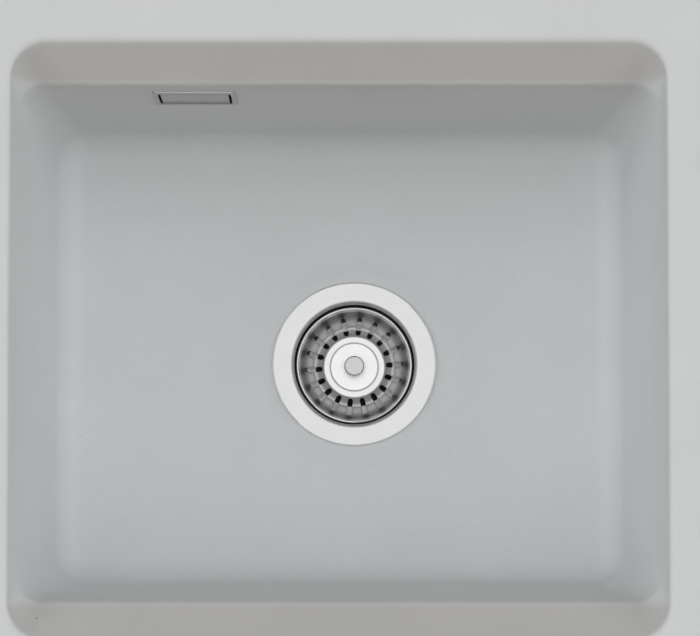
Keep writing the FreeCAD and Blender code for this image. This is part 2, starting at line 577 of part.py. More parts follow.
# ---------------------------------------------------------------- plug
def make_knob():
    neck_r = STEM_HOLE_R + KNOB_NECK_WALL
    cap_low = KNOB_HIGH - KNOB_CAP
    return at_waste(turned([
        (STEM_HOLE_R, KNOB_LOW), (neck_r, KNOB_LOW, 0.5), (neck_r - 0.6, cap_low - 0.8, 1.0),
        (KNOB_R, cap_low, 0.9), (KNOB_R, KNOB_HIGH, 1.3), (0, KNOB_HIGH),
        (0, KNOB_HIGH - KNOB_TOP_WALL), (STEM_HOLE_R, KNOB_HIGH - KNOB_TOP_WALL)]))


def make_plug_stem():
    top, collar_r = KNOB_HIGH - KNOB_TOP_WALL, STEM_R + STEM_COLLAR_WIDTH
    groove_z, groove_r = -O_RING_DEPTH, STEM_R - 2 * O_RING_TUBE_R
    groove_half = O_RING_TUBE_R + RUNNING_CLEARANCE
    collar_low = -COLLAR_TOP_DEPTH - STEM_COLLAR
    return at_waste(turned([
        (0, top), (STEM_R, top), (STEM_R, groove_z + groove_half), (groove_r, groove_z + groove_half),
        (groove_r, groove_z - groove_half), (STEM_R, groove_z - groove_half),
        (STEM_R, -COLLAR_TOP_DEPTH), (collar_r, -COLLAR_TOP_DEPTH), (collar_r, collar_low),
        (STEM_R, collar_low), (STEM_R, NUT_LOW), (TIP_R, NUT_LOW - 0.5),
        (TIP_R, -TIP_END_DEPTH, TIP_R / 3), (0, -TIP_END_DEPTH)]))


def make_stem_o_ring():
    return at_waste(Part.makeTorus(STEM_R - O_RING_TUBE_R, O_RING_TUBE_R, V(0, 0, -O_RING_DEPTH)))


def make_seal_plate():
    low = -SEAL_TOP_DEPTH
    return at_waste(turned([(STEM_HOLE_R, low), (SEAL_PLATE_R, low), (SEAL_PLATE_R, low + SEAL_PLATE, 0.5),
                            (STEM_HOLE_R, low + SEAL_PLATE)]))


def make_plug_seal():
    pocket_r = STEM_NUT_FLATS / math.sqrt(3) + NUT_POCKET_CLEARANCE
    pocket_top = NUT_LOW + STEM_NUT
    return at_waste(turned([
        (STEM_HOLE_R, pocket_top), (pocket_r, pocket_top), (pocket_r, -CUP_DEPTH),
        (SEAL_R, -CUP_DEPTH, 1.0), (SEAL_R, -CUP_DEPTH + SEAL_LIP, 1.0),
        (SEAL_PLATE_R + 1.0, -SEAL_TOP_DEPTH, 1.5), (STEM_HOLE_R, -SEAL_TOP_DEPTH)]))


def make_stem_nut():
    nut = hexagon(STEM_NUT_FLATS, NUT_LOW, NUT_LOW + STEM_NUT)
    return at_waste(nut.cut(rod(STEM_HOLE_R, NUT_LOW - 1, NUT_LOW + STEM_NUT + 1)))


# ---------------------------------------------------------------- overflow
def make_overflow_bezel():
    frame = upright(BEZEL_X, BEZEL_Z, BEZEL_CORNER, -BEZEL_SHEET, 0)
    front = edges_at(frame, lambda p: abs(p.y + BEZEL_SHEET) < EPS)
    frame = frame.makeFillet(BEZEL_SHEET * 0.6, front)
    sleeve = upright(SLEEVE_X, SLEEVE_Z, BEZEL_CORNER, 0, SLEEVE_DEPTH)
    window = upright(WINDOW_X, WINDOW_Z, WINDOW_CORNER, -2 * BEZEL_SHEET, SLEEVE_DEPTH + 1)
    bar_z = WINDOW_Z + SLEEVE_SHEET
    bar = Part.makeBox(BAR_WIDTH, BAR_SHEET, bar_z, V(-BAR_WIDTH / 2, SLEEVE_DEPTH - BAR_SHEET, -bar_z / 2))
    hole = level_rod(OVERFLOW_SCREW_R + THREAD_CLEARANCE, SLEEVE_DEPTH - 2 * BAR_SHEET, SLEEVE_DEPTH + 1)
    return at_overflow(fuse(fuse(frame, sleeve).cut(window), bar).cut(hole))


def make_overflow_cover():
    plate = upright(COVER_X, COVER_Z, WINDOW_CORNER - COVER_LONG_GAP, -BEZEL_SHEET, COVER_SHEET - BEZEL_SHEET)
    front = edges_at(plate, lambda p: abs(p.y + BEZEL_SHEET) < EPS)
    return at_overflow(plate.makeFillet(COVER_SHEET * 0.4, front))


def make_cover_springs():
    """Two U-shaped springs on the plate's back, whose legs lie along the sleeve's long sides."""
    back = COVER_SHEET - BEZEL_SHEET
    half = WINDOW_Z / 2 - LEG_CLEARANCE
    leg_x = COVER_X / 2 - LEG_INSET
    springs = []
    for x in (-leg_x, leg_x):
        outer = Part.makeBox(LEG_WIDTH, LEG_DEPTH, 2 * half, V(x - LEG_WIDTH / 2, back, -half))
        inner = Part.makeBox(LEG_WIDTH, LEG_DEPTH, 2 * (half - LEG_SHEET),
                             V(x - LEG_WIDTH / 2, back + LEG_SHEET, -half + LEG_SHEET))
        springs.append(outer.cut(inner))
    return at_overflow(Part.makeCompound(springs))


def make_overflow_screw():
    seat, face = SLEEVE_DEPTH - BAR_SHEET, SLEEVE_DEPTH - BAR_SHEET - OVERFLOW_SCREW_HEAD
    head = level_rod(OVERFLOW_SCREW_HEAD_R, face, seat)
    head = head.makeFillet(OVERFLOW_SCREW_HEAD / 3, edges_at(head, lambda p: abs(p.y - face) < EPS))
    width, reach = OVERFLOW_SCREW_DRIVE, OVERFLOW_SCREW_HEAD_R
    drive = Part.makeBox(2 * reach, width, width, V(-reach, face - EPS, -width / 2))
    cross = drive.copy()
    cross.rotate(V(0, 0, 0), Y_AXIS, 90)
    shank = level_rod(OVERFLOW_SCREW_R, seat - EPS, seat + OVERFLOW_SCREW_LENGTH)
    return at_overflow(fuse(head, shank).cut([drive, cross]))


def make_overflow_gasket():
    pad = upright(HOUSING_FLANGE_X, HOUSING_FLANGE_Z, HOUSING_CORNER, WALL_NORMAL, HOUSING_FRONT)
    hole = upright(WALL_SLOT_X, WALL_SLOT_Z, BEZEL_CORNER, WALL_NORMAL - 1, HOUSING_FRONT + 1)
    return at_overflow(pad.cut(hole))


def make_overflow_housing():
    flange = upright(HOUSING_FLANGE_X, HOUSING_FLANGE_Z, HOUSING_CORNER, HOUSING_FRONT,
                     HOUSING_FRONT + HOUSING_FLANGE)
    box = upright(HOUSING_X, HOUSING_Z, HOUSING_CORNER, HOUSING_FRONT, HOUSING_BACK)
    box = box.makeFillet(HOUSING_WALL, edges_at(box, lambda p: abs(p.y - HOUSING_BACK) < EPS))
    inside_x, inside_z = HOUSING_X - 2 * HOUSING_WALL, HOUSING_Z - 2 * HOUSING_WALL
    inside = at_overflow(upright(inside_x, inside_z, HOUSING_CORNER - HOUSING_WALL,
                                 HOUSING_FRONT - 1, HOUSING_BACK - HOUSING_WALL))
    outer = at_overflow(fuse(flange, box))
    boss_r = OVERFLOW_SCREW_R + THREAD_CLEARANCE + BOSS_WALL
    boss = at_overflow(level_rod(boss_r, SLEEVE_DEPTH, HOUSING_BACK - EPS))
    spout = rod(SPOUT_R, SPOUT_END_Z, SPOUT_TOP_Z)
    bore = rod(HOSE_BORE_R, SPOUT_END_Z - 1, SPOUT_TOP_Z + HOUSING_WALL)
    for piece in (spout, bore):
        piece.translate(SPOUT_AXIS)
    screw_end = SLEEVE_DEPTH - BAR_SHEET + OVERFLOW_SCREW_LENGTH
    screw_hole = at_overflow(level_rod(OVERFLOW_SCREW_R + THREAD_CLEARANCE, SLEEVE_DEPTH - 1, screw_end + 1))
    shell = outer.fuse(spout).cut([inside, bore])
    return fuse(shell, boss).cut(screw_hole)


# ---------------------------------------------------------------- overflow hose
def hose_route(distance):
    """Point and direction at a distance along the hose: down, a quarter turn, then level to the waste."""
    if distance <= HOSE_DOWN:
        return HOSE_START - Z_AXIS * distance, -Z_AXIS
    bend_top = HOSE_START - Z_AXIS * HOSE_DOWN
    if distance <= HOSE_DOWN + HOSE_TURN:
        angle = (distance - HOSE_DOWN) / HOSE_BEND
        centre = bend_top - HOSE_OUT * HOSE_BEND
        from_centre = HOSE_OUT * math.cos(angle) - Z_AXIS * math.sin(angle)
        return centre + from_centre * HOSE_BEND, -HOSE_OUT * math.sin(angle) - Z_AXIS * math.cos(angle)
    level = distance - HOSE_DOWN - HOSE_TURN
    return bend_top - Z_AXIS * HOSE_BEND - HOSE_OUT * (HOSE_BEND + level), -HOSE_OUT


def along_hose(shape, distance):
    """Move a shape from the Z axis at the origin to a distance along the hose, X kept square to its plane."""
    point, direction = hose_route(distance)
    turn = FreeCAD.Rotation(HOSE_SIDE, direction.cross(HOSE_SIDE), direction, "ZXY")
    shape.Placement = FreeCAD.Placement(point, turn)
    return shape


def hose_circle(radius, distance):
    return Part.Wire([along_hose(Part.makeCircle(radius), distance)])


def make_overflow_hose():
    ribbed = HOSE_LENGTH - 2 * HOSE_NECK
    ribs = int(ribbed / HOSE_RIB_PITCH)
    pitch = ribbed / ribs
    rings = [hose_circle(HOSE_VALLEY_R, 0)]
    for k in range(ribs):
        for share, radius in RIB_PROFILE:
            rings.append(hose_circle(radius, HOSE_NECK + (k + share) * pitch))
    rings.append(hose_circle(HOSE_VALLEY_R, HOSE_LENGTH))
    skin = Part.makeLoft(rings, True, True)
    cuffs = [along_hose(rod(SPOUT_R, 0, HOSE_CUFF), place) for place in (0, HOSE_LENGTH - HOSE_CUFF)]
    before, top, middle, bottom, beyond = [hose_route(place)[0] for place in (
        -1, HOSE_DOWN, HOSE_DOWN + HOSE_TURN / 2, HOSE_DOWN + HOSE_TURN, HOSE_LENGTH + 1)]
    path = Part.Wire([Part.LineSegment(before, top).toShape(), Part.Arc(top, middle, bottom).toShape(),
                      Part.LineSegment(bottom, beyond).toShape()])
    bore = path.makePipeShell([hose_circle(HOSE_BORE_R, -1)], True, True)
    print("hose length %.1f, bend %.1f, ribs %d, rib pitch %.2f" % (HOSE_LENGTH, HOSE_BEND, ribs, pitch))
    return skin.multiFuse(cuffs).cut(bore)


def make_hose_seal(at_start):
    seal = ring(SPOUT_R - HOSE_CUFF_STEP, HOSE_BORE_R, 0, HOSE_SEAL)
    return along_hose(seal, -HOSE_SEAL if at_start else HOSE_LENGTH)


def make_hose_nut(at_start):
    """A cap nut over the spout, the seal and the hose's cuff, with finger grips."""
    bore, lip_bore = SPOUT_R + NUT_CLEARANCE, HOSE_VALLEY_R + NUT_CLEARANCE
    open_end, lip_low = -NUT_OVER_SPOUT - HOSE_SEAL, HOSE_CUFF + NUT_CLEARANCE
    lip_high = lip_low + NUT_LIP
    nut = turned([(bore, open_end), (NUT_R, open_end, 0.8), (NUT_R, lip_high, 1.5),
                  (lip_bore, lip_high), (lip_bore, lip_low), (bore, lip_low)])
    grips = []
    for k in range(NUT_GRIPS):
        grip = rod(NUT_GRIP_R, open_end - 1, lip_high + 1)
        grip.translate(V(NUT_R + NUT_GRIP_R / 3, 0, 0))
        grip.rotate(V(0, 0, 0), Z_AXIS, 360 / NUT_GRIPS * k)
        grips.append(grip)
    nut = nut.cut(grips)
    if not at_start:
        nut.rotate(V(0, 0, 0), X_AXIS, 180)
    placed = Part.makeCompound([nut])
    return along_hose(placed, 0 if at_start else HOSE_LENGTH)


# ---------------------------------------------------------------- clips
def clip_places():
    """Plan place and outward direction, in degrees, of each clip on the flange's edge."""
    edge_x, edge_y = OPENING_X / 2 + FLANGE_WIDTH, OPENING_Y / 2 + FLANGE_WIDTH
    places = []
    for sx in (-1, 1):
        for sy in (-1, 1):
            places.append((sx * edge_x, sy * SIDE_CLIP_SPAN / 2, 90 - 90 * sx))
            places.append((sx * END_CLIP_SPAN / 2, sy * edge_y, 90 * sy))
    return places


def at_clips(shape):
    """One copy of a clip piece, made with +X outwards from the flange's edge, at each place."""
    copies = []
    for x, y, angle in clip_places():
        copy = shape.copy()
        copy.rotate(V(0, 0, 0), Z_AXIS, angle)
        copy.translate(V(x, y, 0))
        copies.append(copy)
    return Part.makeCompound(copies)


def make_sink_clips():
    heel = CLIP_REACH - CLIP_SHEET
    points = [V(-CLIP_BITE, 0, CLIP_LOW), V(CLIP_REACH, 0, CLIP_LOW), V(CLIP_REACH, 0, 0), V(heel, 0, 0),
              V(heel, 0, CLIP_TOP), V(-CLIP_BITE, 0, CLIP_TOP)]
    clip = Part.Face(Part.makePolygon(points + points[:1])).extrude(V(0, CLIP_WIDTH, 0))
    clip.translate(V(0, -CLIP_WIDTH / 2, 0))
    bend = [e for e in clip.Edges
            if all(abs(v.Point.x - CLIP_REACH) < EPS and abs(v.Point.z - CLIP_LOW) < EPS for v in e.Vertexes)]
    clip = clip.makeFillet(CLIP_SHEET * 0.9, bend)
    width = 2 * (CLIP_SCREW_R + CLIP_SLOT_CLEARANCE)
    slot = rounded_block(CLIP_SLOT_LENGTH, width, width / 2 - EPS, CLIP_LOW - 1, CLIP_TOP + 1)
    slot.translate(V(CLIP_SCREW_OUT, 0, 0))
    return at_clips(clip.cut(slot))


def make_clip_washers():
    bore = CLIP_SCREW_R + CLIP_SLOT_CLEARANCE
    washer = ring(CLIP_SCREW_R + WASHER_WIDTH, bore, CLIP_HEAD_TOP, CLIP_LOW)
    washer.translate(V(CLIP_SCREW_OUT, 0, 0))
    return at_clips(washer)


def make_clip_screws():
    screw = fuse(hexagon(CLIP_SCREW_HEAD_FLATS, CLIP_HEAD_TOP - CLIP_SCREW_HEAD, CLIP_HEAD_TOP),
                 rod(CLIP_SCREW_R, CLIP_HEAD_TOP - EPS, CLIP_INSERT_BORE - CLIP_SCREW_SHORT))
    screw.translate(V(CLIP_SCREW_OUT, 0, 0))
    return at_clips(screw)


def make_clip_inserts():
    bore = CLIP_SCREW_R + THREAD_CLEARANCE
    insert = turned([(bore, 0), (bore + CLIP_INSERT_WALL, 0), (bore + CLIP_INSERT_WALL, CLIP_INSERT_LENGTH),
                     (0, CLIP_INSERT_LENGTH), (0, CLIP_INSERT_BORE), (bore, CLIP_INSERT_BORE)])
    insert.translate(V(CLIP_SCREW_OUT, 0, 0))
    return at_clips(insert)


NODES = {
    "bowl": make_bowl,
    "strainer_cup": make_strainer_cup,
    "cup_gasket_upper": make_cup_gasket_upper,
    "cup_gasket_lower": make_cup_gasket_lower,
    "waste_body": make_waste_body,
    "hub_insert": make_hub_insert,
    "centre_screw": make_centre_screw,
    "basket_pan": make_basket_pan,
    "basket_disc": make_basket_disc,
    "stem_guide": make_stem_guide,
    "knob": make_knob,
    "plug_stem": make_plug_stem,
    "stem_o_ring": make_stem_o_ring,
    "seal_plate": make_seal_plate,
    "plug_seal": make_plug_seal,
    "stem_nut": make_stem_nut,
    "overflow_bezel": make_overflow_bezel,
    "overflow_cover": make_overflow_cover,
    "cover_springs": make_cover_springs,
    "overflow_screw": make_overflow_screw,
    "overflow_gasket": make_overflow_gasket,
    "overflow_housing": make_overflow_housing,
    "overflow_hose": make_overflow_hose,
    "hose_seal_upper": lambda: make_hose_seal(True),
    "hose_seal_lower": lambda: make_hose_seal(False),
    "hose_nut_upper": lambda: make_hose_nut(True),
    "hose_nut_lower": lambda: make_hose_nut(False),
    "sink_clips": make_sink_clips,
    "clip_washers": make_clip_washers,
    "clip_screws": make_clip_screws,
    "clip_inserts": make_clip_inserts,
}

os.makedirs("parts", exist_ok=True)
for name, make in NODES.items():
    shape = make()
    solids = shape.Solids
    shape = solids[0] if len(solids) == 1 else Part.makeCompound(solids)
    box = shape.BoundBox
    print("%-18s solids %2d  volume %10.1f  valid %s  z %.1f..%.1f" %
          (name, len(solids), shape.Volume, shape.isValid(), box.ZMin, box.ZMax))
    shape.exportStep("parts/" + name + ".step")
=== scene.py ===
"""Looks of the undermount kitchen sink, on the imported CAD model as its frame.

The code works in millimetres and place() turns them into the frame's metres. The frame is the model's:
origin at the centre of the bowl's opening, in the plane of the flange's top, +X right, +Y back, +Z up.
"""
import json
import math

import bmesh
import bpy
from mathutils import Matrix, Vector


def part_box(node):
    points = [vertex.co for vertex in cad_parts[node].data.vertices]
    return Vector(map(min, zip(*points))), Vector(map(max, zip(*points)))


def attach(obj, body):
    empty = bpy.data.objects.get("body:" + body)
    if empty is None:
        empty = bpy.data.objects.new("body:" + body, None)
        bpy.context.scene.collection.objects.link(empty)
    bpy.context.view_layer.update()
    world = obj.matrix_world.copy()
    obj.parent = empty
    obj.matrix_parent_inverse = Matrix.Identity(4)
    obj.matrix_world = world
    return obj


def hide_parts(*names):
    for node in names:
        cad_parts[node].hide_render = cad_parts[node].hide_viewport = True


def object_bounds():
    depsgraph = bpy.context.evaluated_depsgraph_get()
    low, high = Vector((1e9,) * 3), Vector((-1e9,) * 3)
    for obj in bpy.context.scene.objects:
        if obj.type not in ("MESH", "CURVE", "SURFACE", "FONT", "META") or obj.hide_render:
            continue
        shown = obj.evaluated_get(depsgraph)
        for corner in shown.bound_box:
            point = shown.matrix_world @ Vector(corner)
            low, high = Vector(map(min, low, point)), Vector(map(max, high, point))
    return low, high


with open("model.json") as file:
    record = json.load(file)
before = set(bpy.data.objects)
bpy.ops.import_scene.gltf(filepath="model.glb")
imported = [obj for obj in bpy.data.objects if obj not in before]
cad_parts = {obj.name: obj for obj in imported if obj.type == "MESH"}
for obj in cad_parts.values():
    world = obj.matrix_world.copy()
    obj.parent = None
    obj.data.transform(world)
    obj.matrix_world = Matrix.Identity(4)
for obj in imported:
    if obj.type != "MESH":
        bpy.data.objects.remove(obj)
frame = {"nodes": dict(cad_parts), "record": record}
cad_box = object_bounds()
nodes = frame["nodes"]
MM = 0.001

# ---------------------------------------------------------------- sizes of the bowl
# half sizes and plan corner of the hollow at each depth; the walls are straight between them
HOLLOW = {0.0: (201.5, 184.7, 23.0), -30.0: (200.16, 161.0, 15.0), -205.0: (192.34, 153.18, 23.0)}
CREASE_Z = -30.0
FLANGE = (231.5, 214.7, 25.0)
FLANGE_LOW = -12.0
WALL = 9.0
FLOOR_LOW, FLOOR_BALL = -200.0, 6000.0
UNDERSIDE = -212.0
DRAIN = Vector((10.0, -4.0, 0.0))
SEAT_Z, SEAT_R, SEAT_EDGE_R = -202.5, 60.0, 75.0
HOLE_R = 45.0
OVERFLOW = Vector((-92.0, 159.39, -66.0))
OVERFLOW_LEAN = math.atan(0.0447)
# width along the wall, height up the wall and corner
OVERFLOW_SLOT = (48.6, 30.4, 3.3)

# radius and steps of each rounded edge; the rim's radius grows from the sides to the ends
FLANGE_EDGE, CREASE, FLOOR_EDGE, HOLE_EDGE = (2.0, 4), (9.0, 6), (20.0, 12), (0.8, 3)
OUTER_FLOOR_EDGE, OUTER_CREASE = (FLOOR_EDGE[0] + WALL, 10), (3.0, 3)
RIM_ROUND_SIDES, RIM_ROUND_ENDS, RIM_STEPS = 2.5, 7.0, 8
# inner points of each straight run of the bowl's outline, and steps round the bowl
FLANGE_RUN, SHOULDER_RUN, WALL_RUN, FLOOR_RUN, SEAT_RUN = 4, 4, 8, 20, 10
UNDERSIDE_RUN, OUTER_WALL_RUN, FLANGE_UNDERSIDE_RUN = 8, 5, 2
SIDE_STEPS, CORNER_STEPS = 30, 12
SHARP_ANGLE = 40.0


# ---------------------------------------------------------------- mesh helpers
def place(name, points, faces, body):
    """A smooth-shaded mesh object from points in millimetres, on a body if it names one."""
    mesh = bpy.data.meshes.new(name)
    mesh.from_pydata([Vector(p) * MM for p in points], [], faces)
    shell = bmesh.new()
    shell.from_mesh(mesh)
    bmesh.ops.recalc_face_normals(shell, faces=shell.faces)
    shell.to_mesh(mesh)
    shell.free()
    piece = bpy.data.objects.new(name, mesh)
    bpy.context.scene.collection.objects.link(piece)
    finish_edges(piece)
    if body:
        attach(piece, body)
    return piece


def finish_edges(piece):
    """Smooth shading, but for the edges that are really sharp."""
    piece.data.shade_smooth()
    piece.data.set_sharp_from_angle(angle=math.radians(SHARP_ANGLE))


def skin(columns, closed_along=True):
    """Points and quads between neighbouring columns of equally many points, all the way round."""
    rows, count = len(columns[0]), len(columns)
    points = [p for column in columns for p in column]
    faces = []
    for c in range(count):
        here, there = c * rows, (c + 1) % count * rows
        for r in range(rows if closed_along else rows - 1):
            ahead = (r + 1) % rows
            faces.append((here + r, here + ahead, there + ahead, there + r))
    return points, faces


def rounding(before, corner, after, radius, steps):
    """Points of the arc that rounds a corner, from the leg before it to the leg after it."""
    back, ahead = (before - corner).normalized(), (after - corner).normalized()
    half = back.angle(ahead) / 2
    reach = radius / math.tan(half)
    middle = corner + (back + ahead).normalized() * (radius / math.sin(half))
    start, end = corner + back * reach - middle, corner + ahead * reach - middle
    return [middle + start.slerp(end, k / steps) * radius for k in range(steps + 1)]


def between(start, end, count):
    """Inner points of a straight run, both ends left out."""
    return [start.lerp(end, k / (count + 1)) for k in range(1, count + 1)]


# ---------------------------------------------------------------- bowl
def hollow_section(z, grow=0.0):
    """Half sizes and plan corner of the hollow at a depth, each larger by grow."""
    levels = sorted(HOLLOW, reverse=True)
    upper, lower = levels[:2] if z > levels[1] else levels[1:]
    share = (z - upper) / (lower - upper)
    return [a + (b - a) * share + grow for a, b in zip(HOLLOW[upper], HOLLOW[lower])]


def round_the_bowl():
    """Every place round the bowl: side 0 to 3, straight or on the corner after it, and how far along."""
    for side in range(4):
        for k in range(SIDE_STEPS):
            yield side, False, k / SIDE_STEPS
        for k in range(CORNER_STEPS):
            yield side, True, k / CORNER_STEPS


def on_section(section, where, z):
    """Point and level outward normal on a rounded rectangle."""
    side, on_corner, share = where
    outward, along = (section[0], section[1]) if side % 2 == 0 else (section[1], section[0])
    corner = section[2]
    if on_corner:
        angle = math.pi / 2 * share
        normal = Vector((math.cos(angle), math.sin(angle), 0.0))
        local = Vector((outward - corner, along - corner, 0.0)) + normal * corner
    else:
        normal = Vector((1.0, 0.0, 0.0))
        local = Vector((outward, (along - corner) * (2 * share - 1), 0.0))
    turn = Matrix.Rotation(math.pi / 2 * side, 3, "Z")
    point = turn @ local
    return Vector((point.x, point.y, z)), turn @ normal


def floor_z(point):
    """Height of the floor, a very flat dish about the waste."""
    away = (point - DRAIN).to_2d().length
    return FLOOR_LOW + FLOOR_BALL - math.sqrt(FLOOR_BALL ** 2 - away ** 2)


def floor_point(point):
    """The point at its height on the floor, on the soft slope to the waste's seat, or on that seat."""
    away = (point - DRAIN).to_2d().length
    share = min(max((SEAT_EDGE_R - away) / (SEAT_EDGE_R - SEAT_R), 0.0), 1.0)
    ease = share * share * (3 - 2 * share)
    return Vector((point.x, point.y, floor_z(point) * (1 - ease) + SEAT_Z * ease))


def inner_column(where):
    """From under the flange's edge over the rim, the shoulder and the wall to the start of the floor."""
    rim, rim_out = on_section(hollow_section(0.0), where, 0.0)
    crease, _ = on_section(hollow_section(CREASE_Z), where, CREASE_Z)
    foot, foot_out = on_section(hollow_section(FLOOR_LOW), where, FLOOR_LOW)
    for _ in range(2):
        height = floor_z(foot)
        foot, foot_out = on_section(hollow_section(height), where, height)
    edge_top, edge_out = on_section(FLANGE, where, 0.0)
    edge_low, _ = on_section(FLANGE, where, FLANGE_LOW)

    at_ends = abs(rim_out.y) ** 2
    rim_round = RIM_ROUND_SIDES + (RIM_ROUND_ENDS - RIM_ROUND_SIDES) * at_ends
    column = rounding(edge_low - edge_out, edge_low, edge_top, *FLANGE_EDGE)
    column += rounding(edge_low, edge_top, edge_top - edge_out, *FLANGE_EDGE)
    rim_arc = rounding(rim + rim_out, rim, crease, rim_round, RIM_STEPS)
    column += between(column[-1], rim_arc[0], FLANGE_RUN) + rim_arc
    crease_arc = rounding(rim, crease, foot, *CREASE)
    column += between(rim_arc[-1], crease_arc[0], SHOULDER_RUN) + crease_arc
    foot_arc = rounding(crease, foot, foot - foot_out, *FLOOR_EDGE)
    return column + between(crease_arc[-1], foot_arc[0], WALL_RUN) + foot_arc


def floor_column(start):
    """From the floor's edge down the slope to the waste's seat and through the hole."""
    inwards = (start - DRAIN).to_2d().normalized().to_3d()
    slope_start = DRAIN + inwards * SEAT_EDGE_R
    hole_top = DRAIN + inwards * HOLE_R + Vector((0, 0, SEAT_Z))
    hole_low = DRAIN + inwards * HOLE_R + Vector((0, 0, UNDERSIDE))
    seat_step = (SEAT_EDGE_R - SEAT_R) / SEAT_RUN
    column = [floor_point(p) for p in between(start, slope_start, FLOOR_RUN)]
    column += [floor_point(DRAIN + inwards * (SEAT_EDGE_R - k * seat_step)) for k in range(SEAT_RUN + 1)]
    column += rounding(hole_top + inwards, hole_top, hole_low, *HOLE_EDGE)
    return column + rounding(hole_top, hole_low, hole_low + inwards, *HOLE_EDGE)


def outer_column(start, end, where):
    """From the hole's lower edge over the underside and up the outer wall to the flange's edge."""
    base, base_out = on_section(hollow_section(UNDERSIDE, WALL), where, UNDERSIDE)
    crease, _ = on_section(hollow_section(CREASE_Z, WALL), where, CREASE_Z)
    top, _ = on_section(hollow_section(FLANGE_LOW, WALL), where, FLANGE_LOW)
    base_arc = rounding(base - base_out, base, crease, *OUTER_FLOOR_EDGE)
    crease_arc = rounding(base, crease, top, *OUTER_CREASE)
    column = between(start, base_arc[0], UNDERSIDE_RUN) + base_arc
    column += between(base_arc[-1], crease_arc[0], OUTER_WALL_RUN) + crease_arc
    return column + [top] + between(top, end, FLANGE_UNDERSIDE_RUN)


def bowl_column(where):
    """The bowl's closed outline at one place round it."""
    column = inner_column(where)
    column += floor_column(column[-1])
    return column + outer_column(column[-1], column[0], where)


def at_overflow(point):
    """From the overflow's frame, x along the wall, y into the wall, z up the wall, to the sink's."""
    return Matrix.Rotation(-OVERFLOW_LEAN, 3, "X") @ point + OVERFLOW


def block_through_wall(name, width, height, corner, y_low, y_high):
    """A rounded block through the wall at the overflow, in the overflow's frame."""
    columns = []
    for where in round_the_bowl():
        if where[1]:
            point, _ = on_section((width / 2, height / 2, corner), where, 0.0)
            columns.append([at_overflow(Vector((point.x, y, point.y))) for y in (y_low, y_high)])
    points, faces = skin(columns, closed_along=False)
    faces += [tuple(range(end, len(points), 2)) for end in (0, 1)]
    return place(name, points, faces, None)


def cut_out(piece, cutter):
    """Cut one mesh from another for good."""
    modifier = piece.modifiers.new("cut", "BOOLEAN")
    modifier.object, modifier.operation, modifier.solver = cutter, "DIFFERENCE", "EXACT"
    graph = bpy.context.evaluated_depsgraph_get()
    cut = bpy.data.meshes.new_from_object(piece.evaluated_get(graph))
    piece.modifiers.clear()
    piece.data = cut
    bpy.data.objects.remove(cutter)


def make_bowl():
    """The casting, with rounder edges than the solid's and the slot for the overflow."""
    points, faces = skin([bowl_column(where) for where in round_the_bowl()])
    bowl = place("bowl_casting", points, faces, "root")
    cut_out(bowl, block_through_wall("slot_cutter", *OVERFLOW_SLOT, -2 * WALL, 2 * WALL))
    finish_edges(bowl)
    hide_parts("bowl")
    return bowl


# ---------------------------------------------------------------- materials
WHITE = (1.0, 1.0, 1.0)
LEVEL, UPRIGHT, FORWARD = (1.0, 1.0, 0.0), (0.0, 0.0, 1.0), (0.0, 1.0, 0.0)
WASTE_AXIS = (DRAIN.x, DRAIN.y, -200.1)
# the sloping shoulders' painted shade, a darker and warmer tint, and where it fades in: away from the middle
# and below the flange's top
SHOULDER_PAINTED_SHADE = (0.87, 0.845, 0.82)
SHOULDER_OUT, SHOULDER_BELOW = (160.0, 165.0), (0.8, 4.0)
SPECK_SPACING = 9.0
SPECK_COLOUR = (0.10, 0.10, 0.10)


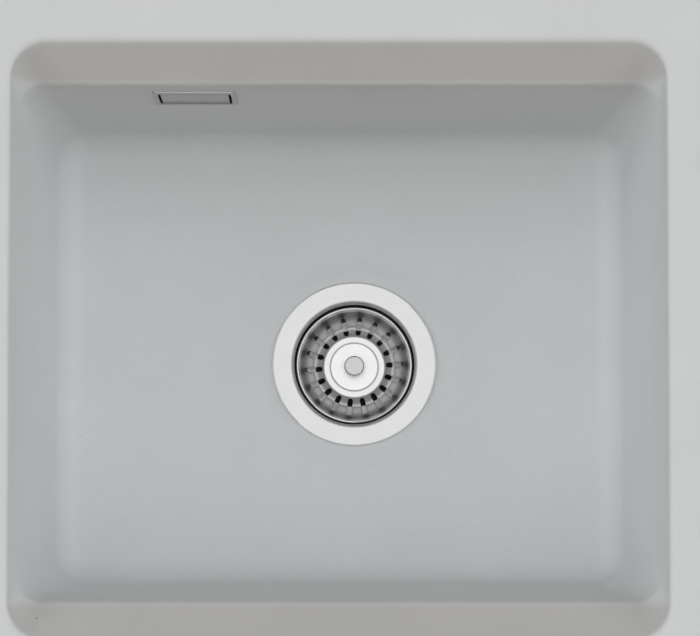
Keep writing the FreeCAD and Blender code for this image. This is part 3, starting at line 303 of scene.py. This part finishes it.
class Shader:
    """A material with one Principled shader and short calls for the nodes that feed it."""

    def __init__(self, name, **settings):
        self.material = bpy.data.materials.new(name)
        self.material.use_nodes = True
        self.tree = self.material.node_tree
        self.bsdf = self.tree.nodes["Principled BSDF"]
        for socket, value in settings.items():
            self.bsdf.inputs[socket.replace("_", " ")].default_value = value
        self.where = self.node("TexCoord").outputs["Object"]

    def node(self, kind, operation=None):
        made = self.tree.nodes.new("ShaderNode" + kind)
        if operation:
            made.operation = operation
        return made

    def link(self, source, target):
        self.tree.links.new(source, target)

    def noise(self, size_mm, detail=3.0, roughness=0.5):
        """Noise of about that grain size, 0 to 1."""
        node = self.node("TexNoise")
        node.inputs["Scale"].default_value = 1.0 / (size_mm * MM)
        node.inputs["Detail"].default_value = detail
        node.inputs["Roughness"].default_value = roughness
        self.link(self.where, node.inputs["Vector"])
        return node.outputs["Fac"]

    def cells(self, size_mm):
        """Cells of about that size: the distance from each cell's middle, and a colour for each cell."""
        node = self.node("TexVoronoi")
        node.inputs["Scale"].default_value = 1.0 / (size_mm * MM)
        self.link(self.where, node.inputs["Vector"])
        return node.outputs["Distance"], node.outputs["Color"]

    def ramp(self, value, *stops):
        """Colour ramp through (place, colour) stops, where a number is a grey."""
        node = self.node("ValToRGB")
        steps = node.color_ramp.elements
        while len(steps) < len(stops):
            steps.new(0.5)
        for step, (at, colour) in zip(steps, stops):
            step.position = at
            step.color = (*colour, 1.0) if isinstance(colour, tuple) else (colour, colour, colour, 1.0)
        self.link(value, node.inputs["Fac"])
        return node.outputs["Color"]

    def range(self, value, low, high, at_low=0.3, at_high=0.7):
        """The value spread from low to high."""
        node = self.node("MapRange")
        for socket, number in zip(("From Min", "From Max", "To Min", "To Max"), (at_low, at_high, low, high)):
            node.inputs[socket].default_value = number
        self.link(value, node.inputs["Value"])
        return node.outputs["Result"]

    def fade(self, value, start, end):
        """0 up to the start and 1 from the end on."""
        return self.range(value, 0.0, 1.0, start, end)

    def mix(self, share, first, second, blend="MIX"):
        node = self.node("Mix")
        node.data_type, node.blend_type = "RGBA", blend
        for socket, value in ((node.inputs[0], share), (node.inputs[6], first), (node.inputs[7], second)):
            if isinstance(value, (int, float)):
                socket.default_value = value
            elif isinstance(value, tuple):
                socket.default_value = (*value, 1.0)
            else:
                self.link(value, socket)
        return node.outputs[2]

    def multiply(self, first, second, share=1.0):
        return self.mix(share, first, second, "MULTIPLY")

    def measure(self, centre, axes):
        """Distance from a centre in millimetres, along the given axes only."""
        away, kept = self.node("VectorMath", "SUBTRACT"), self.node("VectorMath", "MULTIPLY")
        self.link(self.where, away.inputs[0])
        away.inputs[1].default_value = Vector(centre) * MM
        self.link(away.outputs[0], kept.inputs[0])
        kept.inputs[1].default_value = [axis / MM for axis in axes]
        length = self.node("VectorMath", "LENGTH")
        self.link(kept.outputs[0], length.inputs[0])
        return length.outputs["Value"]

    def bump(self, height, depth_mm, strength):
        node = self.node("Bump")
        node.inputs["Strength"].default_value = strength
        node.inputs["Distance"].default_value = depth_mm * MM
        self.link(height, node.inputs["Height"])
        self.link(node.outputs["Normal"], self.bsdf.inputs["Normal"])

    def colour(self, source):
        self.link(source, self.bsdf.inputs["Base Color"])

    def rough(self, source):
        self.link(source, self.bsdf.inputs["Roughness"])


def composite():
    """Cast stone-filled resin: light grey, matt, with fine grain and a few dark specks.

    The sloping shoulders in front and behind are painted a little darker and warmer: painted shade.
    """
    stone = Shader("composite", Specular_IOR_Level=0.4)
    grain, cloud = stone.noise(0.9, 4.0, 0.7), stone.noise(60.0, 2.0)
    fine = stone.ramp(grain, (0.3, (0.685, 0.699, 0.703)), (0.7, (0.765, 0.779, 0.783)))
    tone = stone.multiply(fine, stone.ramp(cloud, (0.3, 0.94), (0.7, 1.0)), share=0.5)
    # painted shade: the shoulders' colour darkened and warmed by a mask away from the middle and below the
    # flange's top
    outwards = stone.fade(stone.measure((0, 0, 0), FORWARD), *SHOULDER_OUT)
    below = stone.fade(stone.measure((0, 0, 0), UPRIGHT), *SHOULDER_BELOW)
    shoulder = stone.multiply(outwards, below)
    tone = stone.multiply(tone, stone.ramp(shoulder, (0.0, 1.0), (1.0, SHOULDER_PAINTED_SHADE)))
    middle, chance = stone.cells(SPECK_SPACING)
    specks = stone.multiply(stone.ramp(middle, (0.045, 1.0), (0.07, 0.0)),
                            stone.ramp(chance, (0.10, 1.0), (0.11, 0.0)))
    stone.colour(stone.mix(specks, tone, SPECK_COLOUR))
    stone.rough(stone.range(stone.noise(3.0), 0.40, 0.52))
    stone.bump(grain, 0.05, 0.25)
    return stone.material


def brushed(metal, grain, rough_low, rough_high):
    """The metal's uneven gloss and fine relief, and the material."""
    metal.rough(metal.range(metal.noise(6.0), rough_low, rough_high))
    metal.bump(grain, 0.01, 0.3)
    return metal.material


def steel(name, colour, rough_low, rough_high, grain_mm=0.4):
    """Metal of one colour, finely mottled."""
    metal = Shader(name, Metallic=1.0)
    grain = metal.noise(grain_mm, 3.0, 0.6)
    metal.colour(metal.ramp(grain, (0.3, tuple(c * 0.95 for c in colour)), (0.7, colour)))
    return brushed(metal, grain, rough_low, rough_high)


def zoned_steel(name, centre, axes, zones, rough_low, rough_high, tint=WHITE, edge=None):
    """Steel whose tone follows the distance from a centre, in (millimetres, tone) zones, which paint its
    light and shade.

    Beyond the radius of its edge, where it has one, it is painted white: a painted highlight.
    """
    metal = Shader(name, Metallic=1.0)
    reach = zones[-1][0]
    share = metal.fade(metal.measure(centre, axes), 0.0, reach)
    tone = metal.ramp(share, *((at / reach, tuple(level * t for t in tint)) for at, level in zones))
    if edge:
        # painted highlight: beyond the edge's radius the tone is mixed to white
        painted_highlight = metal.fade(metal.measure(centre, LEVEL), edge, edge + 0.4)
        tone = metal.mix(painted_highlight, tone, WHITE)
    grain = metal.noise(0.4, 3.0, 0.6)
    metal.colour(metal.multiply(tone, metal.ramp(grain, (0.3, 0.94), (0.7, 1.0))))
    return brushed(metal, grain, rough_low, rough_high)


def plain(name, dark, light, rough_low, rough_high, grain_mm, depth_mm):
    """A moulded or cast surface: slight mottling, uneven gloss and a fine skin texture.

    Each of its two colours is RGB, or one number for a grey.
    """
    surface = Shader(name)
    grain = surface.noise(grain_mm)
    surface.colour(surface.ramp(surface.noise(12.0), (0.3, dark), (0.7, light)))
    surface.rough(surface.range(grain, rough_low, rough_high))
    surface.bump(grain, depth_mm, 0.4)
    return surface.material


# the basket's tone, ring by ring, paints its light and shade: plateau, painted shade in the groove by the
# disc, shaded flank, a painted light band in the trough, shaded drawn wall, and a bead bright as a painted
# highlight
BASKET_ZONES = [(0.0, 0.90), (16.9, 0.45), (17.3, 0.50), (17.9, 0.90), (20.8, 0.90), (21.8, 0.42),
                (27.4, 0.46), (28.4, 0.62), (29.6, 0.98), (32.0, 0.95), (34.8, 0.45), (37.5, 0.32),
                (38.0, 0.98), (42.0, 0.98)]
# the disc is painted dark towards its rim: painted shade in the groove round it
DISC_ZONES = [(0.0, 0.93), (16.0, 0.93), (16.6, 0.60), (17.0, 0.45)]
# the cup's tone is painted by depth: light at its flange, darker down the wall and near black by the basket's
# bead as painted shade and painted dark reflection, then bright at its bottom as painted light
CUP_ZONES = [(0.0, 0.78), (1.5, 0.76), (4.0, 0.62), (9.0, 0.42), (13.5, 0.22), (15.5, 0.02), (17.0, 0.02),
             (17.6, 0.95), (80.0, 0.95)]
# from this radius out the flange's rounded edge is painted white: a painted highlight over its dark
# reflection
CUP_EDGE_R = 55.8
# the overflow's plate is painted darker towards its foot: painted shade
COVER_TOP = (0.0, 0.0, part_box("overflow_cover")[1].z / MM)
COVER_ZONES = [(0.0, 0.40), (3.0, 0.50), (17.0, 0.50), (21.0, 0.36), (26.0, 0.24), (40.0, 0.20)]
COVER_TINT = (1.0, 0.99, 0.97)

SLOTS = {
    "composite": composite(),
    "satin_steel": steel("satin_steel", (0.50, 0.495, 0.485), 0.28, 0.36),
    "basket_steel": zoned_steel("basket_steel", WASTE_AXIS, LEVEL, BASKET_ZONES, 0.30, 0.38),
    "bright_steel": steel("bright_steel", (0.68, 0.68, 0.68), 0.12, 0.22),
    "zinc_steel": steel("zinc_steel", (0.62, 0.63, 0.65), 0.28, 0.45, grain_mm=0.8),
    "brass": steel("brass", (0.78, 0.60, 0.32), 0.20, 0.32),
    "white_plastic": plain("white_plastic", (0.74, 0.74, 0.72), (0.80, 0.80, 0.78), 0.38, 0.52, 0.7, 0.02),
    "hose_plastic": plain("hose_plastic", (0.40, 0.41, 0.42), (0.47, 0.48, 0.49), 0.42, 0.58, 0.7, 0.02),
    "black_rubber": plain("black_rubber", 0.014, 0.022, 0.5, 0.68, 0.5, 0.03),
    "sealing_rubber": plain("sealing_rubber", (0.05, 0.05, 0.052), (0.075, 0.075, 0.078), 0.55, 0.75,
                            0.5, 0.03),
}

# the same steel with light and shade painted into its tone on some pieces, and a lighter grey on the knob
FINISHES = {
    "overflow_cover": zoned_steel("cover_steel", COVER_TOP, UPRIGHT, COVER_ZONES, 0.28, 0.36, COVER_TINT),
    "strainer_cup": zoned_steel("cup_steel", WASTE_AXIS, UPRIGHT, CUP_ZONES, 0.30, 0.38, edge=CUP_EDGE_R),
    "basket_disc": zoned_steel("disc_steel", WASTE_AXIS, LEVEL, DISC_ZONES, 0.24, 0.32),
    "knob": steel("knob_steel", (0.66, 0.66, 0.66), 0.30, 0.40),
}


def paint(piece, material):
    """The material in every slot of the piece, with a slot made where it has none."""
    if not piece.material_slots:
        piece.data.materials.append(material)
    for slot in piece.material_slots:
        slot.material = material


# ---------------------------------------------------------------- the pieces
bowl = make_bowl()
paint(bowl, SLOTS["composite"])
for part in frame["record"]["subparts"]:
    if part["node"] != "bowl":
        paint(nodes[part["node"]], FINISHES.get(part["node"], SLOTS[part["material_slot"]]))


# ---------------------------------------------------------------- stage, light and camera
GROUND_HALF = 6000.0
LOBE_POWER = 16.0
# azimuth from the back over the right, elevation and colour of each lobe of light
STUDIO = [
    (0, 90, (1.70, 1.72, 1.74)),
    (90, 42, (2.25, 2.28, 2.30)), (270, 42, (2.25, 2.28, 2.30)),
    (90, 30, (1.40, 1.42, 1.42)), (270, 30, (1.40, 1.42, 1.42)),
    (0, 62, (0.75, 0.78, 0.82)), (180, 26, (0.45, 0.28, 0.15)), (0, 26, (0.30, 0.18, 0.10)),
]
CAMERA_AT, CAMERA_TILT = Vector((6.99, -100.6, 1503.1)), 2.688
LENS, SENSOR_WIDTH, SHIFT_Y = 126.83, 36.0, 0.10


def make_stage():
    low, half = cad_box[0].z / MM, GROUND_HALF
    corners = [(-half, -half, low), (half, -half, low), (half, half, low), (-half, half, low)]
    ground = place("ground", corners, [(0, 1, 2, 3)], None)
    paint(ground, plain("pale_ground", 0.80, 0.82, 0.7, 0.8, 4.0, 0.02))


def make_world():
    """Soft studio light from broad lobes.

    The camera, metal and glass see a pale background instead.
    """
    world = bpy.data.worlds.new("studio")
    bpy.context.scene.world = world
    world.use_nodes = True
    tree = world.node_tree
    tree.nodes.clear()

    def node(kind, operation=None, **inputs):
        """A node with its numbered inputs, _0 and on, set or linked."""
        made = tree.nodes.new("ShaderNode" + kind)
        if operation:
            made.operation = operation
        for slot, value in inputs.items():
            socket = made.inputs[int(slot[1:])]
            if isinstance(value, bpy.types.NodeSocket):
                tree.links.new(value, socket)
            else:
                socket.default_value = value
        return made

    paths = node("LightPath").outputs
    seen = node("Math", "MAXIMUM", _0=paths["Is Camera Ray"], _1=paths["Is Glossy Ray"])
    seen = node("Math", "MAXIMUM", _0=seen.outputs[0], _1=paths["Is Transmission Ray"])
    direction = node("TexCoord").outputs["Generated"]
    light = (0.0, 0.0, 0.0)
    for azimuth, elevation, colour in STUDIO:
        turn, rise = math.radians(azimuth), math.radians(elevation)
        aim = (math.sin(turn) * math.cos(rise), math.cos(turn) * math.cos(rise), math.sin(rise))
        facing = node("VectorMath", "DOT_PRODUCT", _0=direction, _1=aim).outputs["Value"]
        facing = node("Math", "MAXIMUM", _0=facing, _1=0.0).outputs[0]
        shape = node("Math", "POWER", _0=facing, _1=LOBE_POWER).outputs[0]
        light = node("VectorMath", "MULTIPLY_ADD", _0=shape, _1=colour, _2=light).outputs[0]
    lit = node("Background", _0=light, _1=1.0).outputs[0]
    pale = node("Background", _0=(*WHITE, 1.0), _1=1.0).outputs[0]
    choice = node("MixShader", _0=seen.outputs[0], _1=lit, _2=pale)
    node("OutputWorld", _0=choice.outputs[0])


def make_camera():
    lens = bpy.data.cameras.new("camera")
    lens.lens, lens.sensor_width, lens.sensor_fit = LENS, SENSOR_WIDTH, "HORIZONTAL"
    lens.shift_y = SHIFT_Y
    lens.clip_start, lens.clip_end = 0.05, 50.0
    camera = bpy.data.objects.new("camera", lens)
    camera.location = CAMERA_AT * MM
    camera.rotation_euler = (math.radians(CAMERA_TILT), 0.0, 0.0)
    bpy.context.scene.collection.objects.link(camera)
    bpy.context.scene.camera = camera


make_stage()
make_world()
make_camera()

bpy.context.scene.view_settings.view_transform = "Standard"
